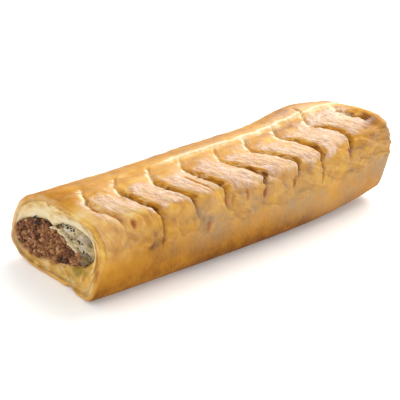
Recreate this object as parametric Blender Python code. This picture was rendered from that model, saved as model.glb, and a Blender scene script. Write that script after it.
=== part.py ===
"""Sausage roll: a length of baked puff pastry wrapped around sausage meat, slashed across the top.

Frame, in metres: +X runs along the roll, -Y is the front long side that the slashes run down, and
+Z is up. The near end (-X) shows the meat. The flat of the underside lies on z = 0, and the origin
is the middle of the base of the whole roll's bounding box.

A place on the crust is given by x and by s, the distance walked over the crust from the crease
along the top: positive s goes over the front shoulder and down the front side.
"""
import math
from dataclasses import dataclass

import bmesh
import bpy

# The whole roll
LENGTH = 0.1515
WIDTH = 0.0545
HEIGHT = 0.0357
HALF = LENGTH / 2

# How the cross-section changes from mid length to an end, as fractions
NEAR_WIDENS = 0.110
NEAR_SINKS = -0.060
FAR_NARROWS = -0.012
FAR_RISES = 0.055
END_BOW = 0.0040            # both ends bow towards the back
FAR_LIFT = 0.0032           # the far end curls up off the tray
FAR_LIFT_START = 0.3        # of the half length

# Cross-section: a superellipse with a soft top, a square front foot and a round back foot
TOP_SQUARENESS = 2.9
FRONT_FOOT_SQUARENESS = 5.2
BACK_FOOT_SQUARENESS = 2.5
WAIST = 0.343               # height of the widest level, of the whole height
LEAN = -0.28                # the top leans over the front foot
SETTLE = 0.0004             # how far the foot is flattened by the tray
CREASE_ANGLE = math.radians(76)

# Bore that the meat lies in, a superellipse whose front side is the higher one
BORE_WIDTH_SHARE = 0.87
BORE_HALF_HEIGHT = 0.0082
BORE_CENTRE = (0.0026, 0.0158)
BORE_SQUARENESS = 2.6
BORE_TILT = math.radians(11.5)
BORE_DIP = 0.0020           # the dough sags into the bore from above
BORE_DIP_ANGLE = math.radians(88)
BORE_DIP_SPREAD = math.radians(22)

# The thin slanting line between the meat and the moist dough over its front edge
MOIST_EDGE_POINT = (-0.0060, 0.0218)
MOIST_EDGE_SLOPE = math.radians(29)
GAP = 0.0003                # between neighbouring pieces

# Slashes, which bow towards the near end on the top and run down the front
SLASH_DEPTH = 0.0019
SLASH_HALF_WIDTH = 0.0015
SHALLOW_SHARE = 0.5         # depth of a slash near the crease and down the front, of its full depth
GAPE_START = 0.015          # stretch of s in which a slash gapes to its full depth
GAPE_END = 0.031
GAPE_FADE = 0.004
TAPER = 0.003               # half the length over which a slash runs out at the top
FOOT_TAPER = 0.005          # the same at its foot
SLASH_BOW = 0.0065
SLASH_DRIFT = 0.0025
SHOULDER = 0.030            # s at which a slash turns down the front side
DRIFT_END = 0.060
NEAR_FADE = 0.025           # length over which the bow dies out towards each end
FAR_FADE = 0.008
LEAN_START = -0.012         # stretch of s over which the crust follows each slash's own line
LEAN_FULL = 0.000
LEAN_WANES = 0.046
LEAN_END = 0.060

# Pillows, the swellings of the crust between two slashes
PILLOW_RISE = 0.0009
PILLOW_START = 0.001
PILLOW_FULL = 0.008
PILLOW_WANES = 0.028
PILLOW_END = 0.044

# Crease along the top, the full strip of smooth crust behind it, the hump and droop at its far
# end, and the rounding off of the far end's shoulder
CREASE_DEPTH = 0.0009
CREASE_HALF_WIDTH = 0.0020
CREASE_START = -0.030
CREASE_TAPER = 0.010
BACK_SWELL = 0.0022
BACK_SWELL_CENTRE = (0.006, -0.011)
BACK_SWELL_REACH = (0.046, 0.0100)
HUMP_RISE = 0.0027
HUMP_CENTRE = (0.053, -0.009)
HUMP_REACH = (0.020, 0.0080)
DROOP = 0.0032
DROOP_CENTRE = (0.079, -0.006)
DROOP_REACH = (0.014, 0.0130)
SHOULDER_SINK = 0.0021
SHOULDER_SINK_CENTRE = (0.080, 0.014)
SHOULDER_SINK_REACH = (0.012, 0.0140)

# Seam under the roll, where the outer sheet laps over the first one
LAP_EDGE = -0.0105
LAP_STEP = 0.0016
LAP_FADE = 0.0060
LAP_LOSS = 0.7              # share of the step that is lost away from the near end
LAP_LOSS_LENGTH = 0.060

# Cut ends
LIP_ROUNDING = 0.0012
LIP_FULLNESS = 0.6          # below 1 makes the lip's edge fuller than a half round
LIP_RAGGED = 0.0005
LIP_WAVES = 5               # waves of the ragged edge round the lip
LIP_TWIST = 9               # how far the waves turn across the lip, in radians
LIP_RINGS = 4
NEAR_TOE = 0.0024           # the near end's front foot and the far end's front side stick out
NEAR_TOE_PLACE = 0.062
FAR_TOE = 0.0016
FAR_TOE_PLACE = 0.048
TOE_SPREAD = 0.011
TOE_LENGTH = 0.014
MEAT_RECESS = 0.0012
MEAT_DOME = 0.0007

# Mesh fineness
OUTLINE_STEPS = 720
POINTS_ROUND = 56
CORE_POINTS = 32
CORE_RINGS = 9
BORE_RINGS = 9
STATION_GAP = 0.0060        # widest gap between two rings of the crust


MM = 0.001


@dataclass(frozen=True)
class Slash:
    """One knife slash, in mm: its station along the roll, and the (s, x) that its line passes."""

    station: float
    path: tuple

    @property
    def x(self):
        """Its station in metres."""
        return self.station * MM

    def line(self, s):
        """How far its line lies from its station at s, in metres."""
        place = s / MM
        if place <= self.path[0][0]:
            return (self.path[0][1] - self.station) * MM
        for (s0, x0), (s1, x1) in zip(self.path, self.path[1:]):
            if place <= s1:
                return (x0 + (x1 - x0) * (place - s0) / (s1 - s0) - self.station) * MM
        return (self.path[-1][1] - self.station) * MM

    def opening(self, s):
        """How far it is open at s, from 0 to 1."""
        start, end = self.path[0][0] * MM, self.path[-1][0] * MM
        reach = smooth_step(s, start - TAPER, start + TAPER)
        reach *= 1.0 - smooth_step(s, end - FOOT_TAPER, end + FOOT_TAPER)
        gape = smooth_step(s, GAPE_START - GAPE_FADE, GAPE_START + GAPE_FADE)
        gape *= 1.0 - smooth_step(s, GAPE_END - GAPE_FADE, GAPE_END + GAPE_FADE)
        return reach * (SHALLOW_SHARE + (1.0 - SHALLOW_SHARE) * gape)


SLASHES = (
    Slash(-65.5, ((3, -61.5), (13, -64.5), (18, -68), (25, -68.5), (32, -64.5), (39, -63))),
    Slash(-48.5, ((2, -46), (13, -47.5), (20, -50), (28, -51.5), (34, -48.5), (47, -46))),
    Slash(-33.0, ((2, -31), (12, -31.5), (18, -34), (24, -35), (31, -33), (40, -31))),
    Slash(-17.0, ((1, -15.5), (10, -16.5), (18, -17.5), (28, -18.5), (37, -17))),
    Slash(0.0, ((1, 1.5), (10, 1), (17, -1), (22, -0.5), (31, 1.5), (38, 1.5))),
    Slash(18.0, ((1, 17.5), (10, 16.5), (16, 15), (21, 18), (30, 20.5), (38, 17.5))),
    Slash(34.5, ((0, 33.5), (12, 33.5), (18, 35.5), (26, 36), (32, 33), (43, 34))),
    Slash(52.0, ((-4, 52), (12, 51.5), (18, 53.5), (24, 54.5), (30, 51.5), (38, 49.5))),
    Slash(70.0, ((0, 71), (8, 69), (15, 69.5), (22, 70), (27, 69))),
)

# Short blister cut between two of the slashes
BLISTER = Slash(-22.0, ((19, -22), (31, -22)))


def clear_scene():
    """Removes the objects that the scene starts with."""
    for item in list(bpy.data.objects):
        bpy.data.objects.remove(item, do_unlink=True)


def smooth_step(value, low, high):
    """Rises smoothly from 0 at low to 1 at high."""
    share = min(max((value - low) / (high - low), 0.0), 1.0)
    return share * share * (3.0 - 2.0 * share)


def bell(value, half_width):
    """A bell curve, 1 at 0 and near nothing past two half widths."""
    return math.exp(-(value / half_width) ** 2)


def signed_power(value, power):
    """Raises a number's size to a power and keeps its sign."""
    return math.copysign(abs(value) ** power, value)


def scale_at(x, near, far):
    """A factor that is 1 at mid length and grows to 1 + near or 1 + far at the ends."""
    share = x / HALF
    return 1.0 + (near if share < 0.0 else far) * share * share


def underside_height(x, y):
    """Height of the underside: 0, but behind the lap's edge it stands a sheet's thickness higher."""
    behind = y - LAP_EDGE
    if behind <= 0.0:
        return 0.0
    along = 1.0 - LAP_LOSS * smooth_step(x, -HALF, -HALF + LAP_LOSS_LENGTH)
    return LAP_STEP * along * (1.0 - smooth_step(behind, 0.0, LAP_FADE))


def outline(x):
    """Dense outline of the crust at x, from the crease over the front, as (y, z) points."""
    width = WIDTH * scale_at(x, NEAR_WIDENS, FAR_NARROWS)
    height = HEIGHT * scale_at(x, NEAR_SINKS, FAR_RISES)
    points = []
    for step in range(OUTLINE_STEPS):
        angle = CREASE_ANGLE + 2.0 * math.pi * step / OUTLINE_STEPS
        across, up = math.cos(angle), math.sin(angle)
        foot = FRONT_FOOT_SQUARENESS if across < 0.0 else BACK_FOOT_SQUARENESS
        power = 2.0 / (TOP_SQUARENESS if up >= 0.0 else foot)
        y = width / 2 * signed_power(across, power)
        share = WAIST + ((1.0 - WAIST) if up >= 0.0 else WAIST) * signed_power(up, power)
        z = height * share
        y += LEAN * (z - height / 2)
        points.append((y, max(z - SETTLE, 0.0)))
    return points


def walk(points, count):
    """Places count points at even distances round a closed outline.

    Returns a list of (s, y, z, normal_y, normal_z), where s starts at 0 at the outline's first
    point and turns negative on the second half of the way round.
    """
    total = len(points)
    lengths = [math.dist(points[i], points[(i + 1) % total]) for i in range(total)]
    perimeter = sum(lengths)
    places = []
    index, passed = 0, 0.0
    for number in range(count):
        wanted = perimeter * number / count
        while passed + lengths[index] < wanted:
            passed += lengths[index]
            index += 1
        share = (wanted - passed) / lengths[index]
        (y0, z0), (y1, z1) = points[index], points[(index + 1) % total]
        along_y, along_z = (y1 - y0) / lengths[index], (z1 - z0) / lengths[index]
        s = wanted if wanted < perimeter / 2 else wanted - perimeter
        places.append((s, y0 + share * (y1 - y0), z0 + share * (z1 - z0), along_z, -along_y))
    return places


def sway(x, s):
    """How far a slash's line is bowed along the roll at s, fading out towards both ends."""
    fade = min((x + HALF) / NEAR_FADE, (HALF - x) / FAR_FADE, 1.0)
    if 0.0 < s < SHOULDER:
        return -SLASH_BOW * math.sin(math.pi * s / SHOULDER) * max(fade, 0.0)
    if SHOULDER <= s < DRIFT_END:
        share = (s - SHOULDER) / (DRIFT_END - SHOULDER)
        return -SLASH_DRIFT * math.sin(math.pi * share) ** 2 * max(fade, 0.0)
    return 0.0


def lean(x, s):
    """How far the crust's lines lean along the roll at s, to follow the slashes on both sides."""
    held = smooth_step(s, LEAN_START, LEAN_FULL) * (1.0 - smooth_step(s, LEAN_WANES, LEAN_END))
    stops = [(-HALF, 0.0)] + [(slash.x, slash.line(s)) for slash in SLASHES] + [(HALF, 0.0)]
    for (left, left_lean), (right, right_lean) in zip(stops, stops[1:]):
        if left <= x <= right:
            share = (x - left) / (right - left)
            return held * (left_lean + (right_lean - left_lean) * share)
    return 0.0


def slash_relief(x, s):
    """Depth cut into the crust by the slashes, and the swelling of the pillows between them."""
    cut = max(slash.opening(s) * bell(x - slash.x, SLASH_HALF_WIDTH)
              for slash in (*SLASHES, BLISTER))
    swell = 0.0
    stations = [-HALF] + [slash.x for slash in SLASHES] + [HALF]
    for left, right in zip(stations, stations[1:]):
        if left < x < right:
            swell = math.sin(math.pi * (x - left) / (right - left)) ** 2
    over_top = smooth_step(s, PILLOW_START, PILLOW_FULL)
    over_top *= 1.0 - smooth_step(s, PILLOW_WANES, PILLOW_END)
    return PILLOW_RISE * swell * over_top - SLASH_DEPTH * cut


def mound(x, s, centre, reach):
    """A low round mound on the crust, 1 at its centre."""
    return bell(x - centre[0], reach[0]) * bell(s - centre[1], reach[1])


def crust_relief(x, s):
    """How far the crust stands out from its plain cross-section."""
    along = smooth_step(x, CREASE_START - CREASE_TAPER, CREASE_START + CREASE_TAPER)
    crease = bell(s, CREASE_HALF_WIDTH) * along
    swell = mound(x, s, BACK_SWELL_CENTRE, BACK_SWELL_REACH) * BACK_SWELL
    hump = mound(x, s, HUMP_CENTRE, HUMP_REACH) * HUMP_RISE
    droop = mound(x, s, DROOP_CENTRE, DROOP_REACH) * DROOP
    sink = mound(x, s, SHOULDER_SINK_CENTRE, SHOULDER_SINK_REACH) * SHOULDER_SINK
    return slash_relief(x, s) - CREASE_DEPTH * crease + swell + hump - droop - sink


def settle_in_place(x, y, z):
    """Bows the straight roll: both ends towards the back, and the far end up."""
    share = x / HALF
    curl = max(0.0, share - FAR_LIFT_START) / (1.0 - FAR_LIFT_START)
    return (x, y + END_BOW * share * share, z + FAR_LIFT * curl * curl)


def toe(x, s):
    """How far the crust's edge sticks out along the roll beyond a square cut."""
    near = smooth_step(-x, HALF - TOE_LENGTH, HALF) * bell(s - NEAR_TOE_PLACE, TOE_SPREAD)
    far = smooth_step(x, HALF - TOE_LENGTH, HALF) * bell(s - FAR_TOE_PLACE, TOE_SPREAD)
    return FAR_TOE * far - NEAR_TOE * near


def crust_ring(x):
    """One ring of points round the outside of the crust, bowed like a slash."""
    ring = []
    for s, y, z, normal_y, normal_z in walk(outline(x), POINTS_ROUND):
        rise = crust_relief(x, s)
        y += rise * normal_y
        z = max(z + rise * normal_z, underside_height(x, y) if z < LAP_STEP else 0.0)
        ring.append((x + sway(x, s) + lean(x, s) + toe(x, s), y, z))
    return ring


def bore_radius(angle, half_width, half_height):
    """Distance from the bore's centre to its wall, in the bore's own tilted frame."""
    across = abs(math.cos(angle) / half_width) ** BORE_SQUARENESS
    up = abs(math.sin(angle) / half_height) ** BORE_SQUARENESS
    return (across + up) ** (-1.0 / BORE_SQUARENESS)


def bore_point(x, angle, inset=0.0):
    """The point of the bore's wall, or of a line set in from it, that lies in one direction.

    angle is measured at the bore's centre from +Y towards +Z.
    """
    half_width = WIDTH * scale_at(x, NEAR_WIDENS, FAR_NARROWS) / 2 * BORE_WIDTH_SHARE
    radius = bore_radius(angle + BORE_TILT, half_width - inset, BORE_HALF_HEIGHT - inset)
    radius -= BORE_DIP * bell(math.remainder(angle - BORE_DIP_ANGLE, math.tau), BORE_DIP_SPREAD)
    return (x, BORE_CENTRE[0] + radius * math.cos(angle), BORE_CENTRE[1] + radius * math.sin(angle))


def bore_ring(x, crust_points):
    """A ring on the bore's wall, point by point opposite a ring of the crust."""
    ring = []
    for _, y, z in crust_points:
        angle = math.atan2(z - BORE_CENTRE[1], y - BORE_CENTRE[0])
        ring.append(bore_point(x, angle))
    return ring


def lip_rings(outer, inner, end):
    """The rounded cut edge from the crust to the bore; end is -1 at the near end and 1 at the far."""
    rings = []
    for number in range(1, LIP_RINGS + 1):
        share = number / (LIP_RINGS + 1)
        bulge = LIP_ROUNDING * math.sin(math.pi * share) ** LIP_FULLNESS
        ring = []
        for index, (a, b) in enumerate(zip(outer, inner)):
            turn = LIP_WAVES * 2 * math.pi * index / POINTS_ROUND + LIP_TWIST * share
            ragged = LIP_RAGGED * math.sin(turn)
            x = a[0] + (b[0] - a[0]) * share + end * (bulge + ragged * math.sin(math.pi * share))
            ring.append((x, a[1] + (b[1] - a[1]) * share, a[2] + (b[2] - a[2]) * share))
        rings.append(ring)
    return rings


def crust_stations():
    """Places along the roll for the crust's rings: on each slash, on its two lips, and between."""
    first, last = -HALF + LIP_ROUNDING, HALF - LIP_ROUNDING
    places = {first, last}
    for slash in (*SLASHES, BLISTER):
        places.update((slash.x - SLASH_HALF_WIDTH, slash.x, slash.x + SLASH_HALF_WIDTH))
    marks = sorted(place for place in places if first <= place <= last)
    filled = [marks[0]]
    for place in marks[1:]:
        gap = place - filled[-1]
        parts = math.ceil(gap / STATION_GAP)
        start = filled[-1]
        filled.extend(start + gap * number / parts for number in range(1, parts + 1))
    return filled


def make_material(name, colour, roughness):
    """A plain Principled material for one piece."""
    material = bpy.data.materials.new(name)
    material.use_nodes = True
    shader = material.node_tree.nodes["Principled BSDF"]
    shader.inputs["Base Color"].default_value = (*colour, 1.0)
    shader.inputs["Roughness"].default_value = roughness
    shader.inputs["Metallic"].default_value = 0.0
    return material


def skin_rings(mesh, rings, closed):
    """Skins a run of equal rings with four-sided faces; closed joins the last ring to the first."""
    rows = [[mesh.verts.new(point) for point in ring] for ring in rings]
    pairs = list(zip(rows, rows[1:]))
    if closed:
        pairs.append((rows[-1], rows[0]))
    for row, following in pairs:
        count = len(row)
        for index in range(count):
            after = (index + 1) % count
            mesh.faces.new((row[index], row[after], following[after], following[index]))
    return rows


def make_object(name, mesh, material):
    """Turns a finished bmesh into a scene object with its material, normals facing out."""
    for vertex in mesh.verts:
        vertex.co = settle_in_place(*vertex.co)
    bmesh.ops.recalc_face_normals(mesh, faces=mesh.faces)
    data = bpy.data.meshes.new(name)
    mesh.to_mesh(data)
    mesh.free()
    data.materials.append(material)
    data.shade_smooth()
    item = bpy.data.objects.new(name, data)
    bpy.context.scene.collection.objects.link(item)
    return item


def build_pastry():
    """The wrap: crust outside, rounded cut lips at both ends, and the bore's wall inside."""
    outside = [crust_ring(x) for x in crust_stations()]
    near_x, far_x = outside[0][0][0], outside[-1][0][0]
    inside = []
    for number in range(BORE_RINGS):
        x = far_x + (near_x - far_x) * number / (BORE_RINGS - 1)
        inside.append(bore_ring(x, crust_ring(x)))
    far_lip = lip_rings(outside[-1], inside[0], 1)
    near_lip = lip_rings(inside[-1], outside[0], -1)
    mesh = bmesh.new()
    skin_rings(mesh, outside + far_lip + inside + near_lip, closed=True)
    return make_object("pastry", mesh, make_material("baked_pastry", (0.640, 0.380, 0.130), 0.5))


def core_mesh():
    """The whole content of the bore: a closed loft with slightly domed ends."""
    mesh = bmesh.new()
    reach = HALF - MEAT_RECESS
    rings = []
    for number in range(CORE_RINGS):
        x = -reach + 2 * reach * number / (CORE_RINGS - 1)
        angles = [2 * math.pi * index / CORE_POINTS for index in range(CORE_POINTS)]
        rings.append([bore_point(x, angle, GAP) for angle in angles])
    rows = skin_rings(mesh, rings, closed=False)
    for row, end in ((rows[0], -1), (rows[-1], 1)):
        x = end * (reach + MEAT_DOME)
        tip = mesh.verts.new((x, *BORE_CENTRE))
        for index, vertex in enumerate(row):
            mesh.faces.new((vertex, row[(index + 1) % CORE_POINTS], tip))
    bmesh.ops.recalc_face_normals(mesh, faces=mesh.faces)
    return mesh


def keep_one_side(mesh, above):
    """Cuts the core along the slanting moist edge, keeps one side of it and closes the cut."""
    normal = (0.0, -math.sin(MOIST_EDGE_SLOPE), math.cos(MOIST_EDGE_SLOPE))
    side = 1.0 if above else -1.0
    shift = side * GAP / 2
    point = (0.0, MOIST_EDGE_POINT[0] + normal[1] * shift, MOIST_EDGE_POINT[1] + normal[2] * shift)
    everything = mesh.verts[:] + mesh.edges[:] + mesh.faces[:]
    cut = bmesh.ops.bisect_plane(mesh, geom=everything, plane_co=point, plane_no=normal,
                                 clear_inner=above, clear_outer=not above)
    rim = [part for part in cut["geom_cut"] if isinstance(part, bmesh.types.BMEdge)]
    bmesh.ops.edgeloop_fill(mesh, edges=rim)
    bmesh.ops.triangulate(mesh, faces=[face for face in mesh.faces if len(face.verts) > 4])
    return mesh


def build_filling():
    """The sausage meat, which runs through the whole roll."""
    mesh = keep_one_side(core_mesh(), above=False)
    return make_object("filling", mesh, make_material("sausage_meat", (0.230, 0.095, 0.042), 0.6))


def build_moist_layer():
    """The band of steamed, underbaked dough that runs along the front of the meat."""
    mesh = keep_one_side(core_mesh(), above=True)
    return make_object("moist_layer", mesh, make_material("moist_dough", (0.440, 0.350, 0.190), 0.4))


def centre_on_origin(items):
    """Moves the meshes so that the bounding box is centred in x and y and stands on z = 0."""
    places = [vertex.co for item in items for vertex in item.data.vertices]
    low = [min(place[axis] for place in places) for axis in range(3)]
    high = [max(place[axis] for place in places) for axis in range(3)]
    offset = (-(low[0] + high[0]) / 2, -(low[1] + high[1]) / 2, -low[2])
    for item in items:
        for vertex in item.data.vertices:
            vertex.co = [vertex.co[axis] + offset[axis] for axis in range(3)]


def main():
    """Builds the roll."""
    clear_scene()
    centre_on_origin([build_pastry(), build_filling(), build_moist_layer()])


main()
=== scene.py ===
"""Sausage roll: the looks of a slashed, egg-glazed puff-pastry wrap round coarse sausage meat.

Metres, +Z up. +X runs along the roll from the near cut end to the far one, and -Y is the long side
that the slashes run down. A place on the crust is given by u, the station along the roll, and by s,
the distance walked over the crust from the crease on top: positive s goes down the front.
"""
import functools
import itertools
import logging
import math
import random
from dataclasses import dataclass
from enum import Enum

import bpy
import numpy as np
from mathutils import Matrix, Vector


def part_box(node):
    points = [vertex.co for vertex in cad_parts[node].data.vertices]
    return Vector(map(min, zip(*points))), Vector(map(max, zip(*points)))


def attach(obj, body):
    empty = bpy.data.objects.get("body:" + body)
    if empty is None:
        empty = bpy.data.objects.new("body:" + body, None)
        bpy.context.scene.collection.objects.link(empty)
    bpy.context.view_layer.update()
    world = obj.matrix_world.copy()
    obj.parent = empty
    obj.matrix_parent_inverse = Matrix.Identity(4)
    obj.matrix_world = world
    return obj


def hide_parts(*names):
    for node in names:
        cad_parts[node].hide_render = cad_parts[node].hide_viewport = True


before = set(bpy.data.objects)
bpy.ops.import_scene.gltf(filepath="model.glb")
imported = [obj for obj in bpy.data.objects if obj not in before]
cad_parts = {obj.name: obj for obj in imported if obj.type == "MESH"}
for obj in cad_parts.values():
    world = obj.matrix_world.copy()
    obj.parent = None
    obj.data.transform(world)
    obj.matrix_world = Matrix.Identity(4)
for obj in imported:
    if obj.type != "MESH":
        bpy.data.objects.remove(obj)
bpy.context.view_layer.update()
LOG = logging.getLogger("sausage_roll")
MM = 0.001
Array = np.ndarray
Fields = dict[str, Array]
Pair = tuple[float, float]
Tree = bpy.types.NodeTree
Socket = bpy.types.NodeSocket


class Node(Enum):
    """The CAD nodes that the pieces stand for."""

    PASTRY = "pastry"
    FILLING = "filling"
    MOIST_LAYER = "moist_layer"


class End(Enum):
    """The two cut ends, by the direction of X that they face."""

    NEAR = -1
    FAR = 1


# ---------------------------------------------------------------------------------------------
# Numbers, noise and mesh helpers
# ---------------------------------------------------------------------------------------------

def rise(value: Array, low: float, high: float) -> Array:
    """Smooth step.

    Args:
        value: where to read it.
        low: where it leaves 0.
        high: where it reaches 1.

    Returns:
        Values from 0 to 1.
    """
    share = np.clip((value - low) / (high - low), 0.0, 1.0)
    return share * share * (3.0 - 2.0 * share)


def bell(value: Array, width: float) -> Array:
    """A bell curve that is 1 at 0 and 0.37 at one width."""
    return np.exp(-(value / width) ** 2)


def mound(u: Array, s: Array, centre: Pair,
          reach: Pair) -> Array:
    """A low round mound on the crust.

    Args:
        u: stations.
        s: distances from the crease.
        centre: its place in u and s.
        reach: its widths in u and s.

    Returns:
        Heights from 0 to 1.
    """
    return bell(u - centre[0], reach[0]) * bell(s - centre[1], reach[1])


class SpaceNoise:
    """Gradient noise and cell noise, worked out for whole arrays of points at once."""

    def __init__(self, seed: int) -> None:
        """Fills the lattice's tables.

        Args:
            seed: picks the noise.
        """
        rng = np.random.default_rng(seed)
        self.order = np.tile(rng.permutation(256), 2)
        vectors = rng.normal(size=(256, 3))
        self.slopes = vectors / np.linalg.norm(vectors, axis=1, keepdims=True)
        self.jitter = rng.random((256, 3))

    def corner(self, cell: Array) -> Array:
        """The table's row for each lattice corner."""
        x, y, z = (cell[..., axis] & 255 for axis in range(3))
        return self.order[self.order[self.order[x] + y] + z]

    def smooth(self, places: Array) -> Array:
        """One octave of gradient noise.

        Args:
            places: points, in lattice units.

        Returns:
            Values of about -1 to 1.
        """
        base = np.floor(places).astype(np.int64)
        local = places - base
        fade = local ** 3 * (local * (6.0 * local - 15.0) + 10.0)
        total = np.zeros(places.shape[:-1])
        for number in range(8):
            offset = np.array([number & 1, number >> 1 & 1, number >> 2 & 1])
            slope = self.slopes[self.corner(base + offset)]
            weight = np.prod(np.where(offset == 1, fade, 1.0 - fade), axis=-1)
            total += weight * np.sum(slope * (local - offset), axis=-1)
        return total * 1.6

    def cell(self, places: Array) -> tuple[Array, ...]:
        """Cell noise.

        Args:
            places: points, in lattice units.

        Returns:
            The distances to the nearest and the second nearest cell, and the nearest one's number
            from 0 to 1.
        """
        base = np.floor(places).astype(np.int64)
        near = np.full(places.shape[:-1], 9.0)
        second = near.copy()
        number = near * 0.0
        for index in range(27):
            offset = np.array([index % 3, index // 3 % 3, index // 9]) - 1
            row = self.corner(base + offset)
            gap = np.linalg.norm(base + offset + self.jitter[row] - places, axis=-1)
            closer = gap < near
            second = np.where(closer, near, np.minimum(second, gap))
            number = np.where(closer, row / 255.0, number)
            near = np.where(closer, gap, near)
        return near, second, number


NOISE = SpaceNoise(5)


def lumps(places: Array, size: float | tuple[float, ...], octaves: int = 3,
          seed: float = 0.0) -> Array:
    """Fractal noise in space.

    Args:
        places: points, in an array whose last axis is x, y, z.
        size: width of the largest lumps, in the unit of the places, or one width for each axis.
        octaves: how many times finer lumps are added.
        seed: picks another part of the same noise.

    Returns:
        Values of about -1 to 1, one for each point.
    """
    spot = places / np.array(size) + np.array([7.31, 3.17, 5.71]) * (seed + 1.0)
    total = np.zeros(places.shape[:-1])
    for octave in range(octaves):
        total += NOISE.smooth(spot * 2.0 ** octave) / 2.0 ** octave
    return total


def cells(places: Array, size: float, seed: float = 0.0) -> tuple[Array, ...]:
    """Cell noise in space.

    Args:
        places: points, in an array whose last axis is x, y, z.
        size: width of the cells, in the unit of the places.
        seed: picks another part of the same noise.

    Returns:
        What SpaceNoise.cell gives.
    """
    return NOISE.cell(places / size + np.array([2.9, 8.3, 4.7]) * (seed + 1.0))


def slanted(u: Array, s: Array, degrees: float, along: float, across: float,
            octaves: int, seed: float) -> Array:
    """Streaky noise on the crust.

    Args:
        u: stations.
        s: distances from the crease.
        degrees: the streaks' turn from the roll's long direction towards growing s.
        along: their length.
        across: their width.
        octaves: how many finer levels they have.
        seed: picks another part of the noise.

    Returns:
        Values of about -1 to 1.
    """
    turn = math.radians(degrees)
    lengthwise = u * math.cos(turn) + s * math.sin(turn)
    crosswise = s * math.cos(turn) - u * math.sin(turn)
    flat = np.stack([lengthwise / along, crosswise / across, np.zeros_like(u)], axis=-1)
    return lumps(flat, 1.0, octaves, seed)


def deselect() -> None:
    """Deselects everything, so that an operator acts on the new piece only."""
    bpy.ops.object.select_all(action="DESELECT")


def store(item: bpy.types.Object, label: str, values: Array) -> None:
    """Stores one number for each point of an object's mesh, as an attribute."""
    layer = item.data.attributes.new(label, "FLOAT", "POINT")
    layer.data.foreach_set("value", values.astype(np.float32).ravel())


def wrap_grid(name: str, places: Array, fields: Fields, poles: bool = False) -> bpy.types.Object:
    """Wraps a grid primitive onto a closed form.

    Args:
        name: the piece's name.
        places: points by row, column and axis; the form closes past the last column.
        fields: one number for each point, stored as a mesh attribute by name.
        poles: True where the first and last row are single places; otherwise the form closes past
            the last row too, as a ring does.

    Returns:
        The closed mesh object, with its faces pointing out.
    """
    rows, columns = places.shape[:2]
    spans = rows - 1 if poles else rows
    deselect()
    bpy.ops.mesh.primitive_grid_add(x_subdivisions=spans, y_subdivisions=columns, size=1.0)
    item = bpy.context.object
    item.name = name
    mesh = item.data
    flat = np.empty(len(mesh.vertices) * 3, np.float32)
    mesh.vertices.foreach_get("co", flat)
    flat = flat.reshape(-1, 3)
    row = np.rint((flat[:, 0] + 0.5) * spans).astype(int) % rows
    column = np.rint((flat[:, 1] + 0.5) * columns).astype(int) % columns
    mesh.vertices.foreach_set("co", places[row, column].astype(np.float32).ravel())
    for label, values in fields.items():
        store(item, label, values[row, column])
    close_up(item)
    return item


def close_up(item: bpy.types.Object) -> None:
    """Merges an object's seams and poles, turns its faces outwards and shades it smooth.

    Args:
        item: the object.
    """
    deselect()
    item.select_set(True)
    bpy.context.view_layer.objects.active = item
    bpy.ops.object.mode_set(mode="EDIT")
    bpy.ops.mesh.select_all(action="SELECT")
    bpy.ops.mesh.remove_doubles(threshold=0.000002)
    bpy.ops.mesh.dissolve_degenerate(threshold=0.000001)
    bpy.ops.mesh.normals_make_consistent(inside=False)
    bpy.ops.object.mode_set(mode="OBJECT")
    bpy.ops.object.shade_smooth()


def join_as(name: str, items: list[bpy.types.Object]) -> bpy.types.Object:
    """Joins objects into one piece whose place is in its mesh.

    Args:
        name: the piece's name.
        items: the objects to join.

    Returns:
        The joined object, at the origin.
    """
    deselect()
    for item in items:
        item.select_set(True)
    bpy.context.view_layer.objects.active = items[0]
    bpy.ops.object.join()
    item = bpy.context.object
    item.name = name
    bpy.ops.object.transform_apply(location=True, rotation=True, scale=True)
    return item


# ---------------------------------------------------------------------------------------------
# Materials
# ---------------------------------------------------------------------------------------------

def linear(code: str) -> tuple[float, float, float, float]:
    """Turns a colour linear.

    Args:
        code: an sRGB hex colour.

    Returns:
        The linear colour that shaders take, with an alpha of 1.
    """
    parts = [int(code[start:start + 2], 16) / 255.0 for start in (1, 3, 5)]
    red, green, blue = (p / 12.92 if p <= 0.04045 else ((p + 0.055) / 1.055) ** 2.4 for p in parts)
    return (red, green, blue, 1.0)


def set_up(tree: Tree, node: bpy.types.Node, settings: dict, links: dict) -> None:
    """Gives a node its settings and links.

    Args:
        tree: the material's node tree.
        node: the node.
        settings: properties by name, and input values by socket name or number.
        links: sockets that feed the node's inputs, by socket name or number.
    """
    for key, value in settings.items():
        if isinstance(key, str) and hasattr(node, key):
            setattr(node, key, value)
        else:
            node.inputs[key].default_value = value
    for key, socket in links.items():
        tree.links.new(socket, node.inputs[key])


def add_node(tree: Tree, kind: str, settings: dict, links: dict, out: int | str = 0,
             stops: tuple[tuple[float, str], ...] = ()) -> Socket:
    """Adds a shader node with its settings and links.

    Args:
        tree: the material's node tree.
        kind: the node's type, after the word that all shader nodes' types start with.
        settings: what set_up takes.
        links: what set_up takes.
        out: the output's name or number.
        stops: a colour ramp's places from 0 to 1 with their hex colours, in order.

    Returns:
        The output socket.
    """
    node = tree.nodes.new("ShaderNode" + kind)
    set_up(tree, node, settings, links)
    if stops:
        elements = node.color_ramp.elements
        while len(elements) < len(stops):
            elements.new(0.5)
        for element, (place, code) in zip(elements, stops):
            element.position = place
            element.color = linear(code)
    return node.outputs[out]


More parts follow.
